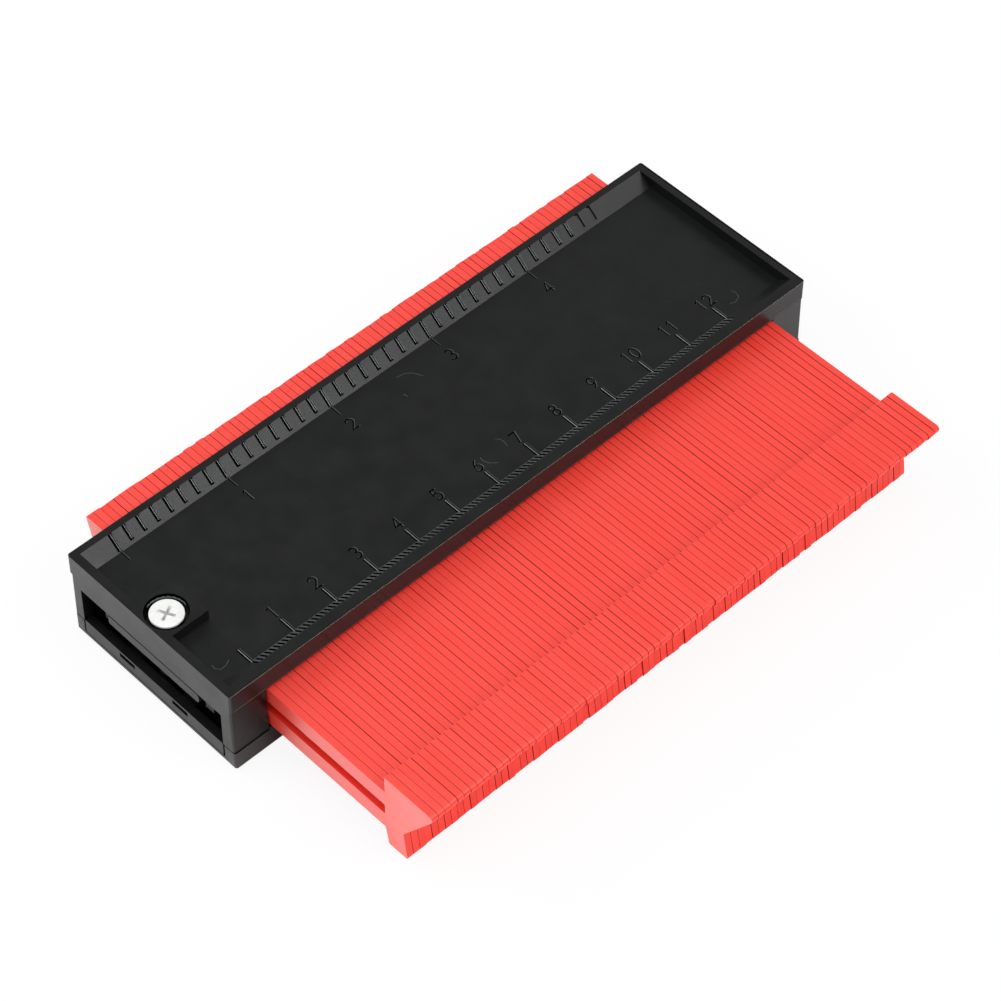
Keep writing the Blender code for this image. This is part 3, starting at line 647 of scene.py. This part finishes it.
def paint_walls_and_edges(bm):
    """Gives painted shade to the tray's right wall and the platform's near wall by less reflection, a pale
    tan painted highlight to the near rim edge and the platform's edges, painted shade to the outer right and
    far edges, and a darker painted shade to the near side.
    """
    for face in bm.faces:
        place = face.calc_center_median() / MM
        way = face.normal
        at_top = place.z > RIM_TOP - EDGE_REACH
        by_screw = place.x < PLATFORM_END and abs(place.y) < PLATFORM_SIDE + 0.5
        near_edge = place.y < -BAND_HALF_WIDTH + EDGE_REACH and abs(way.x) < 0.2
        far_edges = place.x > HALF_LENGTH - EDGE_REACH or place.y > BAND_HALF_WIDTH - EDGE_REACH
        right_wall = way.x < -0.9 and abs(place.x - TRAY_END) < 0.2
        near_side = way.y < -0.9 and place.y < -BAND_HALF_WIDTH + 0.8
        if place.z > TRAY_TOP and (right_wall or way.y < -0.9 and by_screw):
            face.material_index = SHADED_WALL
        elif at_top and 0.5 < way.z < 0.9 and (near_edge or by_screw and -0.9 < way.y < -0.4):
            face.material_index = EDGE_HIGHLIGHT
        elif at_top and 0.1 < way.z < 0.99 and far_edges:
            face.material_index = PAINTED_SHADE
        elif near_side and place.z > SKIRT_BOTTOM and place.x < RIGHT_POST:
            face.material_index = SHADED_NEAR_SIDE


def make_upper_cover(sizes, finishes):
    """Upper cover with rounded edges, engraved scales and numbers."""
    bm = packed_shape("upper_cover")
    top = RIM_TOP * MM
    outer = []
    for edge in sharp_edges(bm, 30):
        ends = [vert.co for vert in edge.verts]
        level = all(abs(end.z - top) < 0.01 * MM for end in ends)
        outside = all(abs(end.x) > (HALF_LENGTH - 1.5) * MM or abs(end.y) > (BAND_HALF_WIDTH - 0.1) * MM
                      for end in ends)
        if level and outside:
            outer.append(edge)
    round_edges(bm, outer, sizes.rim_edge, 4)
    round_edges(bm, sharp_edges(bm, 50), sizes.edge)
    paint_walls_and_edges(bm)
    cover = add_piece("upper_cover_moulding", bm, finishes, "housing", ["upper_cover"])
    engrave(cover, engravings(sizes))
    add_ledge(cover)
    for vert in cover.data.vertices:
        vert.co.z = min(vert.co.z, top)
    smooth(cover)


def make_rounded_copy(node, name, material, radius):
    """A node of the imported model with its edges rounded."""
    bm = packed_shape(node)
    round_edges(bm, sharp_edges(bm, 35), radius)
    smooth(add_piece(name, bm, [material], "housing", [node]))


def rounded(before, corner, after, radius, steps):
    """Points of an arc that rounds the corner between its two neighbours."""
    a = (Vector(before) - Vector(corner)).normalized()
    b = (Vector(after) - Vector(corner)).normalized()
    half = a.angle(b) / 2
    centre = Vector(corner) + (a + b).normalized() * (radius / math.sin(half))
    start = Vector(corner) + a * (radius / math.tan(half)) - centre
    end = Vector(corner) + b * (radius / math.tan(half)) - centre
    turn = start.angle_signed(end)
    points = []
    for step in range(steps + 1):
        arm = start.copy()
        arm.rotate(Matrix.Rotation(-turn * step / steps, 2))
        points.append(tuple(centre + arm))
    return points


def moved_in(outline, depth):
    """The outline with every side moved in by a depth, or out by a negative one."""
    points = [Vector(point) for point in outline]
    area = sum(a.x * b.y - b.x * a.y for a, b in zip(points, points[1:] + points[:1]))
    side = 1 if area > 0 else -1
    result = []
    for index, point in enumerate(points):
        before = (point - points[index - 1]).normalized()
        after = (points[(index + 1) % len(points)] - point).normalized()
        normal_a = Vector((-before.y, before.x)) * side
        normal_b = Vector((-after.y, after.x)) * side
        middle = (normal_a + normal_b).normalized()
        result.append(tuple(point + middle * (depth / middle.dot(normal_a))))
    return result


def soft_corners(corners, radii):
    """A closed outline with each corner rounded by its own radius."""
    outline = []
    for index, (corner, radius) in enumerate(zip(corners, radii)):
        if radius:
            after = corners[(index + 1) % len(corners)]
            outline += rounded(corners[index - 1], corner, after, radius, CORNER_STEPS)
        else:
            outline.append(corner)
    return outline


def pin_outline(nose_in, tail_in, lift):
    """Side view of one pin as (y, z) points in mm."""
    corners = [(HEAD_FACE, HEAD_TOP + lift), (HEAD_FACE - NOSE_LENGTH + nose_in, HEAD_TOP + lift),
               (HEAD_FACE - LUG_NECK + nose_in, LUG_NECK_Z), (HEAD_FACE - LUG_FOOT + nose_in, HEAD_BOTTOM),
               (HEAD_FACE - LUG_RAKE, HEAD_BOTTOM), (HEAD_FACE, BLADE_BOTTOM), (TAIL_FACE, BLADE_BOTTOM),
               (TAIL_FACE, HEAD_BOTTOM), (TAIL_END - TAIL_RAKE - tail_in, HEAD_BOTTOM),
               (TAIL_END - TAIL_RAKE - tail_in, HEAD_TOP - TAIL_RAKE_HEIGHT),
               (TAIL_END - tail_in, HEAD_TOP + lift), (TAIL_FACE, HEAD_TOP + lift), (TAIL_FACE, BLADE_TOP),
               (HEAD_FACE, BLADE_TOP)]
    radii = [0.2, 0.8, 0, 0.35, 0.35, 0, 0, 0.2, 0.25, 0, 0.3, 0.2, 0, 0]
    return soft_corners(corners, radii)


def pin_slot():
    """The slot along a blade as (y, z) points in mm."""
    corners = [(HEAD_FACE, SLOT_TOP), (HEAD_FACE, SLOT_BOTTOM), (TAIL_FACE, SLOT_BOTTOM),
               (TAIL_FACE, SLOT_TOP)]
    return soft_corners(corners, [0.35] * 4)


def add_pin(bm, limits, bevels, finishes, depth, outline, slot):
    """One pin between two X limits, in mm; the narrow bevels at its sides make the parting lines."""
    left, right = limits
    steps = [(left, depth), (left + bevels[0], 0), (right - bevels[1], 0), (right, depth)]
    outer = [[bm.verts.new(mm(x, y, z)) for y, z in moved_in(outline, inset)] for x, inset in steps]
    inner = [[bm.verts.new(mm(x, y, z)) for y, z in moved_in(slot, -inset)] for x, inset in steps]
    for rows in (outer, inner):
        for low, high, finish in zip(rows, rows[1:], finishes):
            for index in range(len(low)):
                face = bm.faces.new((low[index - 1], low[index], high[index], high[index - 1]))
                face.material_index = finish
    for ring, hole in ((outer[0], inner[0]), (outer[-1], inner[-1])):
        verts = ring + hole
        flat = [[Vector((vert.co.y, vert.co.z, 0)) for vert in part] for part in (ring, hole)]
        for triangle in tessellate_polygon(flat):
            bm.faces.new([verts[index] for index in triangle])


def make_pins(sizes, finishes):
    """All the pins, two to a piece, each with its own small offsets."""
    chance = random.Random(CHANCE_SEED)
    slot = pin_slot()
    depth = sizes.bevel_depth / MM
    least = sizes.bevel_width / MM
    stack_start = -PAIR_COUNT * PIN_PITCH
    for pair in range(PAIR_COUNT):
        bm = bmesh.new()
        for pin in (2 * pair, 2 * pair + 1):
            start = stack_start + pin * PIN_PITCH
            bevels = [least + BEVEL_SCATTER * chance.random() ** 2 for _ in range(2)]
            outline = pin_outline(END_SCATTER * chance.random(), END_SCATTER * chance.random(),
                                  TOP_SCATTER * (chance.random() - 0.5))
            limits = (start + PIN_CLEARANCE, start + PIN_PITCH - PIN_CLEARANCE)
            # The bevels between pins get the dark red, painted shade in the parting lines; the outer sides of
            # the end pins stay plain
            sides = [PLAIN if pin == 0 else SHADED_GROOVE, PLAIN, PLAIN if pin == 2 * PAIR_COUNT - 1 else SHADED_GROOVE]
            add_pin(bm, limits, bevels, sides, depth, outline, slot)
        bmesh.ops.recalc_face_normals(bm, faces=bm.faces[:])
        node = f"pin_pair_{pair + 1:02d}"
        name = f"pins_{2 * pair + 1:02d}_{2 * pair + 2:02d}"
        bm.normal_update()
        # The nose's faces turned towards -Y get the duller red: painted shade on that side
        for face in bm.faces:
            if face.normal.y < -0.7 and face.calc_center_median().y < NOSE_START * MM:
                face.material_index = NOSE
        smooth(add_piece(name, bm, finishes, node, [node]), 35)


def lathe(bm, profile):
    """A (radius, z) profile in mm turned about the Z axis."""
    verts = [bm.verts.new(mm(radius, 0, z)) for radius, z in profile]
    edges = [bm.edges.new(pair) for pair in zip(verts, verts[1:])]
    bmesh.ops.spin(bm, geom=verts + edges, cent=(0, 0, 0), axis=(0, 0, 1), angle=2 * math.pi,
                   steps=ROUND_STEPS, use_duplicate=False)
    bmesh.ops.remove_doubles(bm, verts=bm.verts[:], dist=0.001 * MM)
    bmesh.ops.recalc_face_normals(bm, faces=bm.faces[:])


def make_screw(finishes):
    """Flat-head screw with a cross recess, a cone under the head and a turned thread."""
    profile = [(radius, SCREW_TOP - drop) for radius, drop in SCREW_HEAD] + [(SHANK_RADIUS, SCREW_SEAT)]
    level = SCREW_SEAT - 0.6
    turn = 0
    while level > THREAD_END:
        profile.append((SHANK_RADIUS if turn % 2 else THREAD_ROOT, level))
        turn += 1
        level -= THREAD_STEP
    profile += SCREW_TIP
    bm = bmesh.new()
    lathe(bm, profile)
    screw = add_piece("tension_screw_turned", bm, finishes, "screw", ["tension_screw"])
    cutter = bmesh.new()
    for along in (Vector((1, 0, 0)), Vector((0, 1, 0))):
        across = UP.cross(along)
        rings = []
        for height, reach, thick in CROSS_ENDS:
            centre = UP * (SCREW_TOP + height)
            rings.append([cutter.verts.new((along * reach * a + across * thick * b + centre) * MM)
                          for a, b in SQUARE])
        bridge(cutter, *rings)
    bmesh.ops.recalc_face_normals(cutter, faces=cutter.faces[:])
    # The cross recess gets the darker zinc: painted shade
    paint_cutter(cutter, 0, SHADED_CROSS)
    engrave(screw, cutter)
    turn_to = Matrix.Rotation(math.radians(CROSS_TURN), 4, "Z")
    screw.data.transform(Matrix.Translation(mm(SCREW_X, 0, 0)) @ turn_to)
    smooth(screw, 30)


# Stage

TARGET = Vector((-0.0008, -0.0149, 0.010))
AZIMUTH = -44.0252
ELEVATION = 49.8956
ROLL = 0.476
DISTANCE = 0.6538
FOCAL_PIXELS = 3518.2
IMAGE_PIXELS = 1001
SENSOR_WIDTH = 36.0
DARK_SIDE = (0.1, 0.1, 1.0)
DARK_FROM = 0.6                 # cosine to the dark side where the studio starts to darken
DARK_TO = 0.95
STUDIO_LIGHT = 0.569
STUDIO_DARK = 0.069
BACKDROP_SHARE = 0.9
FLOOR_HALF = 4.0
FLOOR_LEVEL = -0.05 * MM
LAMP_DISTANCE = 1.2
# Each lamp's direction, size in metres and power in watts
LAMPS = {
    "left_light": ((-0.66, 0.3, 0.68), 0.7, 2.8),
    "back_light": ((-0.35, 0.8, 0.5), 0.7, 3.8),
    "top_light": ((-0.1, 0.0, 1.0), 0.7, 4.0),
    "front_light": ((0.1, -0.55, 0.83), 0.7, 4.2),
    "near_light": ((0.45, -0.74, 0.5), 0.5, 1.8),
}


def make_camera():
    """Camera at the photograph's place."""
    azimuth, elevation, roll = (math.radians(angle) for angle in (AZIMUTH, ELEVATION, ROLL))
    back = Vector((math.sin(azimuth) * math.cos(elevation), -math.cos(azimuth) * math.cos(elevation),
                   math.sin(elevation)))
    level = Vector((math.cos(azimuth), math.sin(azimuth), 0))
    rise = back.cross(level)
    right = level * math.cos(roll) + rise * math.sin(roll)
    up = -level * math.sin(roll) + rise * math.cos(roll)
    data = bpy.data.cameras.new("Camera")
    data.sensor_width = SENSOR_WIDTH
    data.sensor_fit = "HORIZONTAL"
    data.lens = FOCAL_PIXELS * SENSOR_WIDTH / IMAGE_PIXELS
    data.clip_start = 0.01
    data.clip_end = 50
    camera = bpy.data.objects.new("Camera", data)
    turn = Matrix((right, up, back)).transposed().to_4x4()
    camera.matrix_world = Matrix.Translation(TARGET + back * DISTANCE) @ turn
    bpy.context.scene.collection.objects.link(camera)
    bpy.context.scene.camera = camera


def make_lamp(name, direction, size, power):
    """A square soft light that points at the gauge."""
    data = bpy.data.lights.new(name, "AREA")
    data.shape = "SQUARE"
    data.size = size
    data.energy = power
    lamp = bpy.data.objects.new(name, data)
    way = Vector(direction).normalized()
    lamp.location = way * LAMP_DISTANCE
    lamp.rotation_euler = way.to_track_quat("Z", "Y").to_euler()
    bpy.context.scene.collection.objects.link(lamp)


def make_world():
    """Even studio light all round, darker overhead, with a white backdrop."""
    world = bpy.data.worlds.new("Studio")
    bpy.context.scene.world = world
    world.use_nodes = True
    nodes = world.node_tree.nodes
    links = world.node_tree.links
    place = nodes.new("ShaderNodeTexCoord")
    dot = nodes.new("ShaderNodeVectorMath")
    dot.operation = "DOT_PRODUCT"
    dot.inputs[1].default_value = Vector(DARK_SIDE).normalized()
    links.new(place.outputs["Generated"], dot.inputs[0])
    ranged = nodes.new("ShaderNodeMapRange")
    ranged.interpolation_type = "SMOOTHSTEP"
    ranged.inputs["From Min"].default_value = DARK_FROM
    ranged.inputs["From Max"].default_value = DARK_TO
    ranged.inputs["To Min"].default_value = STUDIO_LIGHT
    ranged.inputs["To Max"].default_value = STUDIO_DARK
    links.new(dot.outputs["Value"], ranged.inputs["Value"])
    lighting = nodes["Background"]
    links.new(ranged.outputs["Result"], lighting.inputs["Strength"])
    lighting.inputs["Color"].default_value = (1, 1, 1, 1)
    backdrop = nodes.new("ShaderNodeBackground")
    backdrop.inputs["Color"].default_value = (1, 1, 1, 1)
    path = nodes.new("ShaderNodeLightPath")
    mix = nodes.new("ShaderNodeMixShader")
    links.new(path.outputs["Is Camera Ray"], mix.inputs["Fac"])
    links.new(lighting.outputs["Background"], mix.inputs[1])
    links.new(backdrop.outputs["Background"], mix.inputs[2])
    links.new(mix.outputs["Shader"], nodes["World Output"].inputs["Surface"])


def white_paper(colour):
    """Paper that stays almost white in the picture and keeps a faint shadow."""
    finish = Finish("white_paper", colour, 0.9)
    finish.bump(finish.noise(3, 3), 0.01)
    glow = finish.nodes.new("ShaderNodeEmission")
    path = finish.nodes.new("ShaderNodeLightPath")
    share = finish.nodes.new("ShaderNodeMath")
    share.operation = "MULTIPLY"
    share.inputs[1].default_value = BACKDROP_SHARE
    finish.links.new(path.outputs["Is Camera Ray"], share.inputs[0])
    mix = finish.nodes.new("ShaderNodeMixShader")
    finish.links.new(share.outputs["Value"], mix.inputs["Fac"])
    finish.links.new(finish.shader.outputs["BSDF"], mix.inputs[1])
    finish.links.new(glow.outputs["Emission"], mix.inputs[2])
    finish.links.new(mix.outputs["Shader"], finish.nodes["Material Output"].inputs["Surface"])
    return finish.material


def make_stage(colours):
    """Pale floor, soft light and the camera."""
    mesh = bpy.data.meshes.new("floor")
    corners = [(x * FLOOR_HALF, y * FLOOR_HALF, FLOOR_LEVEL) for x, y in SQUARE]
    mesh.from_pydata(corners, [], [(0, 1, 2, 3)])
    floor = bpy.data.objects.new("floor", mesh)
    bpy.context.scene.collection.objects.link(floor)
    mesh.materials.append(white_paper(colours.floor))
    make_world()
    for name, (direction, size, power) in LAMPS.items():
        make_lamp(name, direction, size, power)
    make_camera()
    bpy.context.scene.view_settings.view_transform = "Standard"


# Operators

class GaugeOperator:
    """What the operators share."""
    bl_options = {"REGISTER"}

    @staticmethod
    def settings(context):
        """The sizes and colours that the panel shows."""
        return context.scene.gauge_sizes, context.scene.gauge_colours


class GAUGE_OT_upper_cover(GaugeOperator, bpy.types.Operator):
    """Make the upper cover with its scales"""
    bl_idname = "gauge.upper_cover"
    bl_label = "Upper Cover"

    def execute(self, context):
        sizes, colours = self.settings(context)
        black = black_plastic("black_plastic_upper", colours.black)
        painted_highlight = black_plastic("black_plastic_painted_highlight", scaled(colours.black, HIGHLIGHT_SHADE))
        painted_shade = black_plastic("black_plastic_painted_shade", scaled(colours.black, RECESS_SHADE), 0.0)
        edge_highlight = black_plastic("black_plastic_edge_highlight", tinted(colours.black, EDGE_HIGHLIGHT_SHADE))
        shaded_wall = black_plastic("black_plastic_shaded_wall", colours.black, SHADED_WALL_GLOSS)
        near = black_plastic("black_plastic_near_shade", scaled(colours.black, NEAR_SHADE), NEAR_GLOSS,
                             NEAR_ROUGHNESS)
        notch = black_plastic("black_plastic_notch_highlight", scaled(colours.black, NOTCH_HIGHLIGHT_SHADE))
        make_upper_cover(sizes, (black, painted_highlight, painted_shade, edge_highlight, shaded_wall, near, notch))
        return {"FINISHED"}


class GAUGE_OT_lower_cover(GaugeOperator, bpy.types.Operator):
    """Make the lower cover and the guide bar"""
    bl_idname = "gauge.lower_cover"
    bl_label = "Lower Cover and Guide Bar"

    def execute(self, context):
        sizes, colours = self.settings(context)
        black = black_plastic("black_plastic_lower", colours.black)
        make_rounded_copy("lower_cover", "lower_cover_moulding", black, sizes.edge)
        make_rounded_copy("guide_bar", "guide_bar_moulding", black, sizes.edge)
        return {"FINISHED"}


class GAUGE_OT_pads(GaugeOperator, bpy.types.Operator):
    """Finish the two friction pads"""
    bl_idname = "gauge.pads"
    bl_label = "Friction Pads"

    def execute(self, context):
        _, colours = self.settings(context)
        felt = felt_pad("felt_pad", colours.felt)
        for node in ("friction_pad_upper", "friction_pad_lower"):
            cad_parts[node].data.materials.clear()
            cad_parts[node].data.materials.append(felt)
        return {"FINISHED"}


class GAUGE_OT_pins(GaugeOperator, bpy.types.Operator):
    """Make all the pins"""
    bl_idname = "gauge.pins"
    bl_label = "Pins"

    def execute(self, context):
        sizes, colours = self.settings(context)
        blade = red_plastic("red_plastic_blade", colours.red)
        nose = red_plastic("red_plastic_nose", colours.red, NOSE_COAT, NOSE_GLOSS)
        groove_shade = red_plastic("red_plastic_groove_shade", scaled(colours.red, GROOVE_SHADE), 0.0, 0.0)
        make_pins(sizes, (blade, nose, groove_shade))
        return {"FINISHED"}


class GAUGE_OT_screw(GaugeOperator, bpy.types.Operator):
    """Make the tension screw"""
    bl_idname = "gauge.screw"
    bl_label = "Tension Screw"

    def execute(self, context):
        _, colours = self.settings(context)
        slot = zinc_plate("zinc_plate_slot_shade", scaled(colours.zinc, SLOT_SHADE))
        make_screw((zinc_plate("zinc_plate", colours.zinc), slot))
        return {"FINISHED"}


class GAUGE_OT_stage(GaugeOperator, bpy.types.Operator):
    """Make the floor, the lights and the camera"""
    bl_idname = "gauge.stage"
    bl_label = "Stage"

    def execute(self, context):
        _, colours = self.settings(context)
        make_stage(colours)
        return {"FINISHED"}


class GAUGE_PT_panel(bpy.types.Panel):
    """Sizes, colours and the pieces that can be made"""
    bl_idname = "GAUGE_PT_panel"
    bl_label = "Contour Gauge"
    bl_space_type = "VIEW_3D"
    bl_region_type = "UI"
    bl_category = "Gauge"

    def draw(self, context):
        for group in (context.scene.gauge_sizes, context.scene.gauge_colours):
            column = self.layout.column(align=True)
            for name in group.__annotations__:
                column.prop(group, name)
        column = self.layout.column(align=True)
        for operator in OPERATORS:
            column.operator(operator.bl_idname)


OPERATORS = (GAUGE_OT_upper_cover, GAUGE_OT_lower_cover, GAUGE_OT_pads, GAUGE_OT_pins, GAUGE_OT_screw,
             GAUGE_OT_stage)
CLASSES = (GaugeSizes, GaugeColours, *OPERATORS, GAUGE_PT_panel)


def register():
    for item in CLASSES:
        bpy.utils.register_class(item)
    bpy.types.Scene.gauge_sizes = bpy.props.PointerProperty(type=GaugeSizes)
    bpy.types.Scene.gauge_colours = bpy.props.PointerProperty(type=GaugeColours)


def unregister():
    del bpy.types.Scene.gauge_colours
    del bpy.types.Scene.gauge_sizes
    for item in reversed(CLASSES):
        bpy.utils.unregister_class(item)


def main():
    register()
    bpy.ops.gauge.upper_cover()
    bpy.ops.gauge.lower_cover()
    bpy.ops.gauge.pads()
    bpy.ops.gauge.pins()
    bpy.ops.gauge.screw()
    bpy.ops.gauge.stage()


if __name__ == "__main__":
    main()
